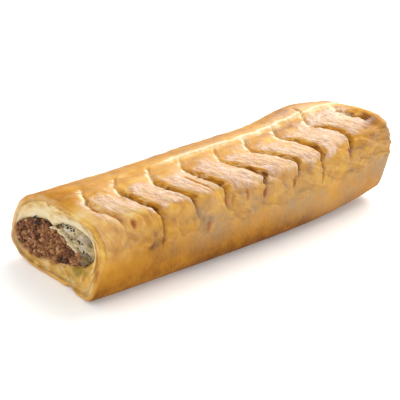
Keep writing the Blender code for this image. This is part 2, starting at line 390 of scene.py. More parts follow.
def grain(tree: Tree, size: float, detail: float = 3.0,
          stretch: tuple[float, float, float] = (1.0, 1.0, 1.0)) -> Socket:
    """A pattern of noise on object coordinates.

    Args:
        tree: the material's node tree.
        size: width of its grains, in metres.
        detail: how many finer levels it has.
        stretch: how much finer it is along each axis.

    Returns:
        The pattern's value, about 0.5 on average.
    """
    place = add_node(tree, "TexCoord", {}, {}, "Object")
    placed = add_node(tree, "Mapping", {"Scale": stretch}, {"Vector": place})
    return add_node(tree, "TexNoise", {"Scale": 1.0 / size, "Detail": detail}, {"Vector": placed})


def streaks(tree: Tree, degrees: float, along: float, across: float) -> Socket:
    """A pattern of streaks that lies on the crust, by the fields "along" and "around".

    Args:
        tree: the material's node tree.
        degrees: the streaks' turn from the roll's long direction, towards the crease.
        along: their length, in metres.
        across: their width, in metres.

    Returns:
        The pattern's value, about 0.5 on average.
    """
    places = [add_node(tree, "Attribute", {"attribute_name": label}, {}, "Fac")
              for label in ("along", "around")]
    flat = add_node(tree, "CombineXYZ", {}, dict(enumerate(places)))
    turned = add_node(tree, "VectorRotate",
                      {"rotation_type": "Z_AXIS", "Angle": math.radians(degrees)}, {"Vector": flat})
    sized = add_node(tree, "VectorMath",
                     {"operation": "MULTIPLY", 1: (MM / along, MM / across, 1.0)}, {0: turned})
    return add_node(tree, "TexNoise", {"Scale": 1.0, "Detail": 3.0}, {"Vector": sized})


def new_shader(name: str) -> tuple[bpy.types.Material, Tree, bpy.types.Node]:
    """Starts a material.

    Args:
        name: its name, for the real material.

    Returns:
        The material, its node tree and its Principled node.
    """
    material = bpy.data.materials.new(name)
    material.use_nodes = True
    tree = material.node_tree
    return material, tree, tree.nodes["Principled BSDF"]


@dataclass(frozen=True)
class BakedCrust:
    """Egg-glazed puff pastry, baked: gold where the glaze browned, floury where it stretched."""

    # raw to brown: the baking's colours, which also carry painted shade in the slashes and under
    # torn layers.
    raw: str = "#E4CC92"
    straw: str = "#DBAD4C"
    gold: str = "#CB9132"
    amber: str = "#B1761F"
    brown: str = "#734008"
    # chalk and blush: floury dough's colours, whitened in part as a painted highlight on the
    # pillows.
    chalk: str = "#E7D3C3"
    blush: str = "#CC9C80"
    cream: str = "#ECDCB6"
    char: str = "#94430F"
    olive: str = "#8F7618"
    mottle: Pair = (0.0060, 0.22)   # width of the browning's clouds, and how much they shift it
    speck: Pair = (0.0008, 0.10)    # the same for fine grit
    streak: Pair = (0.0030, 0.24)   # the same for the drawn dough, by its length

    def material(self) -> bpy.types.Material:
        """Builds the crust's material from its baking, flour, burns and painted light and shade.

        Returns:
            The new material.
        """
        material, tree, shader = new_shader("baked_puff_pastry")
        node = functools.partial(add_node, tree)
        # The floury share read here is partly a painted highlight, and the browning partly painted
        # shade.
        browning, floury, pale, olive, char, glaze, flaky = (
            node("Attribute", {"attribute_name": label}, {}, "Fac")
            for label in ("browning", "chalk", "pale", "olive", "char", "glaze", "flaky"))
        mottle = grain(tree, self.mottle[0], 4.0)
        speck = grain(tree, self.speck[0], 3.0)
        streak = streaks(tree, -80.0, self.streak[0], 0.0008)
        swings = ((speck, self.speck[1]), (mottle, self.mottle[1]), (streak, self.streak[1]))
        middle = sum(swing for _, swing in swings) / 2
        toned = node("Math", {"operation": "SUBTRACT", 1: middle}, {0: browning})
        for pattern, swing in swings:
            toned = node("Math", {"operation": "MULTIPLY_ADD", 1: swing}, {0: pattern, 2: toned})
        colour = node("ValToRGB", {}, {"Fac": toned}, stops=(
            (0.0, self.raw), (0.25, self.straw), (0.5, self.gold), (0.75, self.amber),
            (1.0, self.brown)))
        # The flour colour: partly floury dough, partly a painted highlight.
        flour = node("ValToRGB", {}, {"Fac": streak}, stops=(
            (0.40, self.blush), (0.64, self.chalk)))
        clamped = {"operation": "MULTIPLY_ADD", "use_clamp": True}
        dust = node("Math", clamped | {1: 1.3, 2: 0.18}, {0: speck})
        flour_and_highlight_share = node("Math", clamped | {2: 0.0}, {0: floury, 1: dust})
        colour = node("Mix", {"data_type": "RGBA"}, {0: flour_and_highlight_share, 6: colour, 7: flour}, 2)
        for share, code in ((pale, self.cream), (olive, self.olive), (char, self.char)):
            colour = node("Mix", {"data_type": "RGBA", 7: linear(code)}, {0: share, 6: colour}, 2)
        relief = node("Math", {"operation": "ADD"}, {0: streak, 1: speck})
        relief = node("Math", {"operation": "MULTIPLY"}, {0: relief, 1: flaky})
        set_up(tree, shader, {"IOR": 1.45, "Subsurface Weight": 0.08, "Subsurface Scale": 0.0010,
                              "Subsurface Radius": (1.0, 0.55, 0.25)}, {
            "Base Color": colour,
            "Roughness": node("Math", clamped | {1: -0.30, 2: 0.60}, {0: glaze}),
            "Specular IOR Level": node("Math", clamped | {1: 0.55, 2: 0.12}, {0: glaze}),
            "Normal": node("Bump", {"Strength": 1.0, "Distance": 0.00044}, {"Height": relief})})
        return material


@dataclass(frozen=True)
class CookedMince:
    """Cooked pork mince: brown, coarse and fatty, so it shines in points."""

    deep: str = "#2E1408"
    lean: str = "#754220"
    warm: str = "#A26D3E"
    fat: str = "#CDA276"

    def material(self) -> bpy.types.Material:
        """Builds the mince's material, which reads each grain's own tone.

        Returns:
            The new material.
        """
        material, tree, shader = new_shader("cooked_sausage_mince")
        node = functools.partial(add_node, tree)
        blotch = grain(tree, 0.0030, 4.0)
        fibre = grain(tree, 0.0007, 3.0)
        tone = node("Attribute", {"attribute_name": "tone"}, {}, "Fac")
        tone = node("Math", {"operation": "SUBTRACT", 1: 0.60}, {0: tone})
        for pattern, swing in ((blotch, 0.50), (fibre, 0.70)):
            tone = node("Math", {"operation": "MULTIPLY_ADD", 1: swing}, {0: pattern, 2: tone})
        colour = node("ValToRGB", {}, {"Fac": tone}, stops=(
            (0.0, self.deep), (0.35, self.lean), (0.65, self.warm), (1.0, self.fat)))
        set_up(tree, shader, {"Roughness": 0.52, "IOR": 1.38}, {
            "Base Color": colour,
            "Normal": node("Bump", {"Strength": 0.8, "Distance": 0.0004}, {"Height": fibre})})
        return material


@dataclass(frozen=True)
class SteamedDough:
    """Dough steamed on the meat: white to grey-green, soaked with juices, wet to look at."""

    dark: str = "#66531F"
    body: str = "#B39C6C"
    light: str = "#E6D9B8"
    mauve: str = "#BDB0A8"

    def material(self) -> bpy.types.Material:
        """Builds the wet dough's material.

        Returns:
            The new material.
        """
        material, tree, shader = new_shader("steamed_dough")
        node = functools.partial(add_node, tree)
        streak = grain(tree, 0.0016, 4.0, (0.6, 1.0, 1.5))
        cloud = grain(tree, 0.0050, 2.0)
        tone = node("Attribute", {"attribute_name": "tone"}, {}, "Fac")
        tone = node("Math", {"operation": "SUBTRACT", 1: 0.45}, {0: tone})
        tone = node("Math", {"operation": "MULTIPLY_ADD", 1: 0.9}, {0: streak, 2: tone})
        colour = node("ValToRGB", {}, {"Fac": tone}, stops=(
            (0.0, self.dark), (0.5, self.body), (1.0, self.light)))
        tint = node("Math", {"operation": "MULTIPLY_ADD", "use_clamp": True, 1: 2.4, 2: -1.0},
                    {0: cloud})
        colour = node("Mix", {"data_type": "RGBA", 7: linear(self.mauve)}, {0: tint, 6: colour}, 2)
        set_up(tree, shader, {"Roughness": 0.20, "IOR": 1.40, "Subsurface Weight": 0.15,
                              "Subsurface Radius": (1.0, 0.7, 0.4), "Subsurface Scale": 0.0012}, {
            "Base Color": colour,
            "Normal": node("Bump", {"Strength": 0.6, "Distance": 0.0003}, {"Height": streak})})
        return material


@dataclass(frozen=True)
class PlainTone:
    """A small piece's finish: one food colour broken by a fine grain of a second one."""

    name: str
    colour: str
    second: str
    roughness: float
    grain_size: float = 0.0008
    glow: float = 0.0

    def material(self) -> bpy.types.Material:
        """Builds the two-tone material.

        Returns:
            The new material.
        """
        material, tree, shader = new_shader(self.name)
        node = functools.partial(add_node, tree)
        value = grain(tree, self.grain_size, 3.0)
        set_up(tree, shader, {"Roughness": self.roughness, "Emission Strength": self.glow,
                              "Emission Color": linear(self.colour)}, {
            "Base Color": node("ValToRGB", {}, {"Fac": value},
                               stops=((0.35, self.colour), (0.65, self.second))),
            "Normal": node("Bump", {"Strength": 0.4, "Distance": 0.0002}, {"Height": value})})
        return material


# ---------------------------------------------------------------------------------------------
# The roll's plain form
# ---------------------------------------------------------------------------------------------

@dataclass(frozen=True)
class Slash:
    """One knife slash: its station in mm, its weight, and the (s, station) in mm that it passes."""

    station: float
    weight: float
    path: tuple[Pair, ...]

    @property
    def u(self) -> float:
        """Its station in metres."""
        return self.station * MM

    @property
    def start(self) -> float:
        """The s where it starts."""
        return self.path[0][0] * MM

    @property
    def end(self) -> float:
        """The s where it ends."""
        return self.path[-1][0] * MM

    def offset(self, s: Array) -> Array:
        """How far its line lies from its station at s."""
        marks = [mark * MM for mark, _ in self.path]
        return np.interp(s, marks, [(place - self.station) * MM for _, place in self.path])


SLASHES = (
    Slash(-65.5, 0.8, ((3, -61.5), (13, -64.5), (18, -68), (25, -68.5), (32, -64.5), (39, -63))),
    Slash(-48.5, 1.1, ((2, -46), (13, -47.5), (20, -50), (28, -51.5), (34, -48.5), (47, -46))),
    Slash(-33.0, 1.0, ((2, -31), (12, -31.5), (18, -34), (24, -35), (31, -33), (40, -31))),
    Slash(-17.0, 1.0, ((1, -15.5), (10, -16.5), (18, -17.5), (28, -18.5), (37, -17))),
    Slash(0.0, 0.9, ((1, 1.5), (10, 1), (17, -1), (22, -0.5), (31, 1.5), (38, 1.5))),
    Slash(18.0, 0.9, ((1, 17.5), (10, 16.5), (16, 15), (21, 18), (30, 20.5), (38, 17.5))),
    Slash(34.5, 1.0, ((0, 33.5), (12, 33.5), (18, 35.5), (26, 36), (32, 33), (43, 34))),
    Slash(52.0, 1.0, ((-4, 52), (12, 51.5), (18, 53.5), (24, 54.5), (30, 51.5), (38, 49.5))),
    Slash(70.0, 0.45, ((0, 71), (8, 69), (15, 69.5), (22, 70), (27, 69))),
)

# Short blister cut between two slashes: station, start and end, in mm.
BLISTER = (-22.0, 19.0, 31.0)

# Where juices and sugar burnt at the slashes' feet: station and s, in mm.
BURNS = ((-60.5, 34), (-47, 45), (-25.5, 43.5), (-18, 35.5), (-14.5, 36), (-8, 34.5), (1.5, 36.5),
         (17.5, 36.5), (33.5, 40.5), (49.5, 35))


# The crust's broad swells and sinks: height, centre in u and s, and reach in u and s, in metres.
SWELLS = (
    (0.0022, (0.006, -0.011), (0.046, 0.0100)),      # the full strip behind the crease
    (0.0030, (0.052, -0.009), (0.021, 0.0080)),      # the hump at the far end
    (-0.0032, (0.079, -0.006), (0.014, 0.0130)),     # the droop beyond it
    (-0.0021, (0.080, 0.014), (0.012, 0.0140)),      # the far shoulder
)

# Spots that browned more: how much, centre and reach, as above.
BROWNED_SPOTS = (
    (0.28, (-0.073, 0.006), (0.0085, 0.0120)),
    (0.14, (0.0330, 0.0050), (0.0110, 0.0040)),
    (0.42, (0.0685, 0.0265), (0.0065, 0.0045)),
    (0.35, (0.0700, 0.0130), (0.0020, 0.0070)),
    (0.30, (0.0450, 0.0020), (0.0040, 0.0070)),
)

# How browned the crust is at distances from the crease, in metres, back to front.
BROWNING_BY_S = (
    (-0.060, 0.82), (-0.030, 0.76), (-0.014, 0.72), (-0.004, 0.66), (0.001, 0.46), (0.006, 0.55),
    (0.012, 0.46), (0.018, 0.40), (0.029, 0.45), (0.033, 0.55), (0.045, 0.60), (0.053, 0.68),
    (0.058, 0.82), (0.064, 0.94), (0.074, 1.00),
)

# Upper and lower edge of the matte, floury zone: s by station, in metres.
FLOUR_TOP = ((-0.070, 0.0165), (-0.040, 0.0150), (-0.010, 0.0135), (0.008, 0.0120), (0.024, 0.0165),
             (0.036, 0.0125), (0.048, 0.0095), (0.058, 0.0020), (0.070, 0.0050))
FLOUR_BASE = ((-0.070, 0.0300), (-0.030, 0.0305), (0.000, 0.0325), (0.040, 0.0315), (0.070, 0.0265))


def warp(u: Array, s: Array, half: float) -> Array:
    """How far the crust's lines lean along the roll, to follow the slashes on both sides.

    Args:
        u: straight stations.
        s: distances from the crease.
        half: half the roll's length.

    Returns:
        The lean at each point; it is 0 at both ends.
    """
    stops = [-half] + [slash.u for slash in SLASHES] + [half]
    still = np.zeros_like(u)
    offsets = [still] + [slash.offset(s) for slash in SLASHES] + [still]
    lean = still.copy()
    for number in range(len(stops) - 1):
        share = np.clip((u - stops[number]) / (stops[number + 1] - stops[number]), 0.0, 1.0)
        inside = (u >= stops[number]) & (u <= stops[number + 1])
        between = offsets[number] * (1.0 - share) + offsets[number + 1] * share
        lean = np.where(inside, between, lean)
    return lean * rise(s, -0.012, 0.0) * (1.0 - rise(s, 0.046, 0.060))


@dataclass(frozen=True)
class RollShape:
    """The roll's sizes, which follow the CAD model's, and the smooth surfaces that they give."""

    length: float = 0.1515
    width: float = 0.0545
    height: float = 0.0357
    near_widens: float = 0.110
    near_sinks: float = -0.060
    far_narrows: float = -0.012
    far_rises: float = 0.055
    end_bow: float = 0.0040
    far_lift: float = 0.0032
    far_lift_start: float = 0.3
    top_squareness: float = 2.9
    front_foot_squareness: float = 5.2
    back_foot_squareness: float = 2.5
    waist: float = 0.343
    lean: float = -0.28
    settle: float = 0.0004
    crease_angle: float = math.radians(76)
    bore_share: float = 0.87
    bore_half_height: float = 0.0082
    bore_centre: Pair = (0.0026, 0.0158)
    bore_squareness: float = 2.6
    bore_tilt: float = math.radians(11.5)
    bore_dip: float = 0.0023
    bore_dip_angle: float = math.radians(94)
    bore_dip_spread: float = math.radians(24)
    moist_edge: Pair = (-0.0060, 0.0218)
    moist_slope: float = math.radians(29)
    gap: float = 0.0003
    slash_bow: float = 0.0065
    slash_drift: float = 0.0025
    shoulder: float = 0.030
    drift_end: float = 0.060
    near_fade: float = 0.025
    far_fade: float = 0.008
    lap_edge: float = -0.0105
    lap_step: float = 0.0016
    lap_fade: float = 0.0060
    toe_spread: float = 0.011
    toe_length: float = 0.014
    near_toe: Pair = (0.0024, 0.062)
    far_toe: Pair = (0.0016, 0.048)
    outline_steps: int = 2880

    @property
    def half(self) -> float:
        """Half the length."""
        return self.length / 2

    def scale(self, u: float, near: float, far: float) -> float:
        """A factor that is 1 at mid length and 1 + near or 1 + far at the ends."""
        share = u / self.half
        return 1.0 + (near if share < 0.0 else far) * share * share

    def outline(self, u: float) -> tuple[Array, Array]:
        """The crust's outline at one station.

        Args:
            u: the station.

        Returns:
            y and z round the outline, from the crease over the front.
        """
        width = self.width * self.scale(u, self.near_widens, self.far_narrows)
        height = self.height * self.scale(u, self.near_sinks, self.far_rises)
        angle = self.crease_angle + 2 * np.pi * np.arange(self.outline_steps) / self.outline_steps
        across, up = np.cos(angle), np.sin(angle)
        foot = np.where(across < 0.0, self.front_foot_squareness, self.back_foot_squareness)
        power = 2.0 / np.where(up >= 0.0, self.top_squareness, foot)
        y = width / 2 * np.sign(across) * np.abs(across) ** power
        half_share = np.where(up >= 0.0, 1.0 - self.waist, self.waist)
        z = height * (self.waist + half_share * np.sign(up) * np.abs(up) ** power)
        y = y + self.lean * (z - height / 2)
        return y, np.maximum(z - self.settle, 0.0)

    def walk(self, u: float, marks: Array) -> tuple[Array, ...]:
        """Reads the outline at distances from the crease.

        Args:
            u: the station.
            marks: the distances, as shares of half the way round.

        Returns:
            The true distances, y and z.
        """
        y, z = self.outline(u)
        y, z = np.append(y, y[0]), np.append(z, z[0])
        lengths = np.concatenate([[0.0], np.cumsum(np.hypot(np.diff(y), np.diff(z)))])
        s = marks * lengths[-1] / 2
        place = np.mod(s, lengths[-1])
        return s, np.interp(place, lengths, y), np.interp(place, lengths, z)

    def half_way(self, u: float) -> float:
        """Half the distance round the outline at one station."""
        y, z = self.outline(u)
        return float(np.sum(np.hypot(np.diff(y), np.diff(z)))) / 2

    def sway(self, u: Array, s: Array) -> Array:
        """How far a slash's line bows along the roll at s.

        Args:
            u: stations.
            s: distances from the crease.

        Returns:
            The bow at each point; it fades out towards both ends.
        """
        fade = np.clip(np.minimum((u + self.half) / self.near_fade,
                                  (self.half - u) / self.far_fade), 0.0, 1.0)
        over_top = np.where((s > 0) & (s < self.shoulder),
                            -self.slash_bow * np.sin(np.pi * s / self.shoulder), 0.0)
        share = (s - self.shoulder) / (self.drift_end - self.shoulder)
        down = np.where((share >= 0) & (share < 1),
                        -self.slash_drift * np.sin(np.pi * share) ** 2, 0.0)
        return (over_top + down) * fade

    def toe(self, u: Array, s: Array) -> Array:
        """How far the crust's edge sticks out beyond a square cut.

        Args:
            u: stations.
            s: distances from the crease.

        Returns:
            The way along X at each point.
        """
        near = rise(-u, self.half - self.toe_length, self.half)
        far = rise(u, self.half - self.toe_length, self.half)
        return (self.far_toe[0] * far * bell(s - self.far_toe[1], self.toe_spread)
                - self.near_toe[0] * near * bell(s - self.near_toe[1], self.toe_spread))

    def underside(self, u: Array, y: Array) -> Array:
        """Height of the underside: a step behind the lap's edge, fading out backwards.

        Args:
            u: stations.
            y: places across the roll.

        Returns:
            The height at each point.
        """
        behind = y - self.lap_edge
        along = 1.0 - 0.7 * rise(u, -self.half, -self.half + 0.060)
        step = self.lap_step * along * (1.0 - rise(behind, 0.0, self.lap_fade))
        return np.where(behind > 0.0, step, 0.0)

    def bend(self, places: Array) -> Array:
        """Bows straight places the way the roll lies: ends towards the back, the far end up.

        Args:
            places: points whose last axis is x, y, z.

        Returns:
            The bowed points.
        """
        share = places[..., 0] / self.half
        curl = np.maximum(0.0, share - self.far_lift_start) / (1.0 - self.far_lift_start)
        bowed = places.copy()
        bowed[..., 1] += self.end_bow * share * share
        bowed[..., 2] += self.far_lift * curl * curl
        return bowed

    def bore(self, u: float, angle: Array,
             inset: float = 0.0) -> tuple[Array, Array]:
        """The wall of the bore that the meat lies in.

        Args:
            u: the station.
            angle: directions at the bore's centre, from +Y towards +Z.
            inset: how far inside the wall.

        Returns:
            y and z in those directions.
        """
        width = self.width * self.scale(u, self.near_widens, self.far_narrows)
        across = width / 2 * self.bore_share - inset
        up = self.bore_half_height - inset
        turned = angle + self.bore_tilt
        power = self.bore_squareness
        radius = (np.abs(np.cos(turned) / across) ** power
                  + np.abs(np.sin(turned) / up) ** power) ** (-1.0 / power)
        aside = np.mod(angle - self.bore_dip_angle + np.pi, 2 * np.pi) - np.pi
        radius = radius - self.bore_dip * bell(aside, self.bore_dip_spread)
        return (self.bore_centre[0] + radius * np.cos(angle),
                self.bore_centre[1] + radius * np.sin(angle))


# ---------------------------------------------------------------------------------------------
# The crust
# ---------------------------------------------------------------------------------------------

@dataclass
class PastryCrust:
    """The wrap: slashed crust outside, laminated cut lips at both ends, and the bore's wall."""

    shape: RollShape
    finish: BakedCrust
    fine_step: float = 0.00029      # between columns at a slash
    plain_step: float = 0.00066     # between columns on a pillow
    row_step: float = 0.00045       # between rows over the top and front
    coarse_row_step: float = 0.0013
    fine_back: float = -0.022
    fine_front: float = 0.061
    lip_rings: int = 26
    lip_rounding: float = 0.0012
    bore_rings: int = 8
    slash_depth: float = 0.0021
    pillow_rise: float = 0.0011
    lamina: float = 0.00105         # thickness of one baked layer of dough
    stations: Array | None = None

    def columns(self) -> Array:
        """Stations of the outside's columns, packed closer at each slash.

        Returns:
            The stations, from the near end to the far one.
        """
        first, last = -self.shape.half + self.lip_rounding, self.shape.half - self.lip_rounding
        fine = np.linspace(first, last, 6001)
        density = np.full_like(fine, 1.0 / self.plain_step)
        for slash in SLASHES:
            d = fine - slash.u
            packed = rise(d, -0.0030, -0.0012) * (1.0 - rise(d, 0.0032, 0.0050))
            density = np.maximum(density, packed / self.fine_step)
        count = np.concatenate([[0.0], np.cumsum((density[1:] + density[:-1]) / 2 * np.diff(fine))])
        return np.interp(np.linspace(0.0, count[-1], int(count[-1])), count, fine)

    def rows(self) -> Array:
        """Distances from the crease, as shares of half the way round, for the crust's rows.

        Returns:
            The shares, from -1 to 1, from the back over the top to the front.
        """
        half_way = self.shape.half_way(0.0)
        middle = np.arange(self.fine_back, self.fine_front, self.row_step)
        below = np.arange(self.fine_front, half_way, self.coarse_row_step)
        behind = np.arange(-half_way, self.fine_back - self.row_step, self.coarse_row_step)
        return np.concatenate([behind, middle, below]) / half_way

    def plain_surface(self) -> tuple[Array, ...]:
        """The crust without its relief.

        Returns:
            Places by column and row, and u and s for each.
        """
        marks = self.rows()
        self.stations = self.columns()
        places = np.zeros((len(self.stations), len(marks), 3))
        s = np.zeros(places.shape[:2])
        for index, station in enumerate(self.stations):
            s[index], places[index, :, 1], places[index, :, 2] = self.shape.walk(station, marks)
        u = np.repeat(self.stations[:, None], len(marks), axis=1)
        places[..., 0] = u + self.shape.sway(u, s) + self.shape.toe(u, s)
        places[..., 0] += warp(u, s, self.shape.half)
        return places, u, s

    def slash_relief(self, u: Array, s: Array) -> Fields:
        """What the slashes do to the crust.

        Args:
            u: straight stations.
            s: distances from the crease.

        Returns:
            By name: "height" of the relief; "groove", "wall" and "edge", from 0 to 1, for the cut's
            bottom, its sloping far side and the nearer pillow's edge; and "crack", for the pale
            line in its upper part.
        """
        blank = np.zeros_like(u)
        flat = np.stack([u, s, blank], axis=-1)
        jagged = 0.00040 * lumps(flat, 0.0045, 3, 1.0) + 0.00022 * lumps(flat, 0.0017, 2, 1.5)
        ripple = lumps(flat, (0.0045, 0.0110, 1.0), 2, 2.0)
        groove, wall, edge, crack, height = (blank.copy() for _ in range(5))
        upper = rise(s, 0.0, 0.004) * (1.0 - rise(s, 0.014, 0.021))
        middle = rise(s, 0.011, 0.019) * (1.0 - rise(s, 0.029, 0.034))
        for number, slash in enumerate(SLASHES):
            d = u - slash.u + jagged
            reach = rise(s, slash.start - 0.002, slash.start + 0.003)
            reach = reach * (1.0 - rise(s, slash.end - 0.006, slash.end + 0.001))
            uneven = np.clip(1.0 + 0.45 * lumps(flat + number, 0.0065, 2, 3.0), 0.3, 1.5)
            strength = reach * slash.weight * uneven * (0.42 + 0.58 * middle)
            near_side, far_side = 0.00060, 0.0009 + 0.0011 * middle
            cut = np.where(d < 0, bell(d, near_side), bell(d, far_side)) * strength
            groove = np.maximum(groove, cut)
            wide = 0.0010 + 0.0012 * middle
            wall = np.maximum(wall, bell(d - 0.8 * wide, wide) * reach * (0.35 + 0.65 * middle))
            edge = np.maximum(edge, bell(d + 0.0010, 0.0007) * reach * uneven)
            crack = np.maximum(crack, bell(d + 0.0006, 0.0013) * reach * upper * uneven)
            torn = np.mod(d / self.lamina + 0.5 * ripple, 1.0)
            steps = rise(torn, 0.0, 0.75) - rise(torn, 0.75, 1.0) - 0.5
            beside = rise(d, 0.0004, 0.0012) * (1.0 - rise(d, 0.0030, 0.0050)) * reach
            height += 0.00034 * steps * beside * (0.3 + 0.7 * middle)
        station, start, end = (value * MM for value in BLISTER)
        d = u - station + jagged
        short = rise(s, start - 0.002, start + 0.002) * (1.0 - rise(s, end - 0.004, end + 0.001))
        groove = np.maximum(groove, 0.7 * short * np.where(d < 0, bell(d, 0.0006), bell(d, 0.0014)))
        wall = np.maximum(wall, 0.9 * short * bell(d - 0.0008, 0.0012))
        edge = np.maximum(edge, short * bell(d + 0.0010, 0.0007))
        pillow = blank.copy()
        stops = [-self.shape.half] + [slash.u for slash in SLASHES] + [self.shape.half]
        for left, right in zip(stops, stops[1:]):
            share = np.clip((u - left) / (right - left), 0.0, 1.0)
            pillow += np.where((u > left) & (u <= right), np.sin(np.pi * share ** 1.2) ** 1.4, 0.0)
        over = rise(s, 0.002, 0.012) * (1.0 - rise(s, 0.028, 0.046))
        raised = edge * (0.00012 + 0.00030 * middle)
        height += self.pillow_rise * pillow * over + raised - self.slash_depth * groove
        return {"height": height, "groove": np.clip(groove, 0, 1), "wall": wall,
                "edge": np.clip(edge, 0, 1), "crack": np.clip(crack, 0, 1)}

    def flaky_relief(self, straight: Array, u: Array,
                     s: Array) -> Fields:
        """The torn, wrinkled layers on top of the pillows and along their feet.

        Args:
            straight: straight stations.
            u: true stations.
            s: distances from the crease.

        Returns:
            By name: "height"; "rim" and "under", from 0 to 1, for a torn layer's edge and the layer
            below it; "streak", from -1 to 1; "floury", the zone of matte dough; and "foot", the
            wrinkled zone under it.
        """
        flat = np.stack([straight, s, np.zeros_like(u)], axis=-1)
        soft = lumps(np.stack([u, s, np.zeros_like(u)], axis=-1), 0.0075, 3, 20.0)
        top = np.interp(u, *zip(*FLOUR_TOP))
        base = np.interp(u, *zip(*FLOUR_BASE))
        floury = rise(s - top - 0.0050 * soft, -0.0030, 0.0030)
        floury *= 1.0 - rise(s - base - 0.0022 * soft, -0.0015, 0.0015)
        floury *= rise(u, -0.0725, -0.0700) * (1.0 - rise(u, 0.0700, 0.0730))
        foot = rise(s, 0.029, 0.031) * (1.0 - rise(s + 0.002 * soft, 0.042, 0.047))
        drawn = lumps(flat, (0.0026, 0.0075, 1.0), 3, 21.0)
        fine = lumps(flat, (0.0011, 0.0024, 1.0), 2, 22.0)
        rising = slanted(u, s, -40.0, 0.0060, 0.0016, 2, 25.0)
        falling = slanted(u, s, 24.0, 0.0150, 0.0036, 3, 23.0)
        lobes = lumps(flat, (0.0085, 0.0070, 1.0), 2, 24.0)
        spots = np.stack([straight / 0.0021, s / 0.0043, 0.3 * drawn], axis=-1)
        near, second, number = cells(spots, 1.0, 2.0)
        plates = (number - 0.5) * rise(second - near, 0.02, 0.25)
        right_half = rise(u, -0.030, -0.005)
        feet = falling * right_half + lobes * (1.0 - right_half)
        streak = (0.6 * drawn + 1.1 * plates) * floury + feet * foot
        height = floury * (0.00018 * np.tanh(drawn / 0.16) + 0.00012 * fine + 0.00008 * rising
                           + 0.00038 * plates)
        height += foot * (0.00038 * np.tanh(feet / 0.13) + 0.00013 * fine + 0.00012 * rising)
        ledge = rise(s - base - 0.0022 * soft, -0.0010, 0.0008)
        height += 0.00035 * (1.0 - ledge) * rise(s, 0.022, 0.029)
        # rim and under mark where paint puts a painted highlight on a torn layer's edge and painted
        # shade on the layer below it.
        rim = bell(drawn - 0.13, 0.10) * floury + bell(feet - 0.13, 0.13) * foot * 0.18
        under = bell(drawn + 0.16, 0.12) * floury + bell(feet + 0.15, 0.14) * foot * 0.45
        return {"height": height, "rim": np.clip(rim, 0, 1), "under": np.clip(under, 0, 1),
                "streak": streak,
                "floury": np.clip(floury, 0.0, 1.0), "foot": foot}

    def outside(self) -> tuple[Array, Fields]:
        """The crust's outside, with its relief.

        Returns:
            Places, and the fields that its material reads.
        """
        places, u, s = self.plain_surface()
        true_u = u + warp(u, s, self.shape.half)
        cuts = self.slash_relief(u, s)
        flakes = self.flaky_relief(u, true_u, s)
        wide = lumps(places, 0.020, 2, 4.0)
        blister = lumps(places, 0.0048, 3, 5.0)
        crease_line = s - 0.0006 - 0.0014 * lumps(places, 0.008, 3, 6.0)
        crease = bell(crease_line, 0.0008) * rise(true_u, -0.032, -0.018)
        burn = np.zeros_like(u)
        for station, mark in BURNS:
            spot = np.hypot((true_u - station * MM) / 0.0009, (s - mark * MM) / 0.0020)
            burn = np.maximum(burn, 1.0 - rise(spot + 0.45 * blister, 0.45, 1.4))
        height = cuts["height"] + flakes["height"] * (1.0 - 0.7 * cuts["groove"])
        height += 0.00045 * crease - 0.0007 * bell(crease_line - 0.0016, 0.0009)
        for swell, centre, reach in SWELLS:
            height += swell * mound(u, s, centre, reach)
        quiet = 1.0 - rise(s, 0.044, 0.050)
        height += 0.00035 * wide + 0.00016 * blister * (0.35 + 0.65 * quiet) - 0.0003 * burn
        above = rise(places[..., 2], 0.0008, 0.0040)
        normals = grid_normals(places)
        places = places + normals * (height * above)[..., None]
        places[..., 0] += 0.0005 * cuts["edge"]
        floor = np.where(places[..., 2] < self.shape.lap_step,
                         self.shape.underside(u, places[..., 1]), 0.0)
        places[..., 2] = np.maximum(places[..., 2], floor)
        fields = self.paint(true_u, s, places, cuts, flakes, crease, burn)
        return places, fields

    def paint(self, u: Array, s: Array, places: Array, cuts: Fields,
              flakes: Fields, crease: Array,
              burn: Array) -> Fields:
        """Works out the outside's baking, paleness, flour, burns, gloss and painted light and
        shade.

        Args:
            u: true stations.
            s: distances from the crease.
            places: points.
            cuts: what slash_relief gave.
            flakes: what flaky_relief gave.
            crease: where the pale crease runs, from 0 to 1.
            burn: where it is burnt, from 0 to 1.

        Returns:
            The fields that the material reads, most of them from 0 to 1.
        """
        wide = lumps(places, 0.014, 3, 8.0)
        patch = lumps(places, 0.0045, 3, 9.0)
        crumpled = lumps(places, 0.0021, 3, 14.0)
        floury, wall, groove = flakes["floury"], cuts["wall"], cuts["groove"]
        browning = np.interp(s, *zip(*BROWNING_BY_S))
        far = rise(u, 0.000, 0.060)
        browning += 0.12 * wide + 0.15 * patch * (1.0 - 0.6 * rise(s, 0.040, 0.050))
        # Painted shade: darker at the bottom of each slash and on its far wall, the wall partly
        # real browning too; painted highlight: lighter on the nearer pillow's edge.
        browning += 0.28 * wall * (0.75 + 0.5 * patch) + 0.35 * groove - 0.10 * cuts["edge"]
        # Painted shade under each torn layer's edge, and a painted highlight on the edge itself.
        browning += 0.22 * flakes["under"] - 0.12 * flakes["rim"]
        browning -= 0.10 * rise(u, -0.030, 0.050) * rise(s, 0.034, 0.040)
        browning -= 0.08 * rise(u, 0.020, 0.060) * rise(s, 0.050, 0.058)
        browning += 0.11 * rise(u, -0.040, 0.000) * (1.0 - far) * rise(s, 0.040, 0.056)
        browning += 0.05 * rise(s, 0.036, 0.044)
        browning += (0.08 * rise(-u, 0.020, 0.040) * rise(s, 0.036, 0.046)
                     * (1.0 - rise(s, 0.050, 0.058)))
        browning += 0.12 * rise(u, 0.035, 0.060) * rise(s, 0.026, 0.034)
        for extra, centre, reach in BROWNED_SPOTS:
            browning += extra * mound(u, s, centre, reach)
        browning -= 0.14 * bell(s - 0.001, 0.0028) * rise(u, -0.030, -0.015)
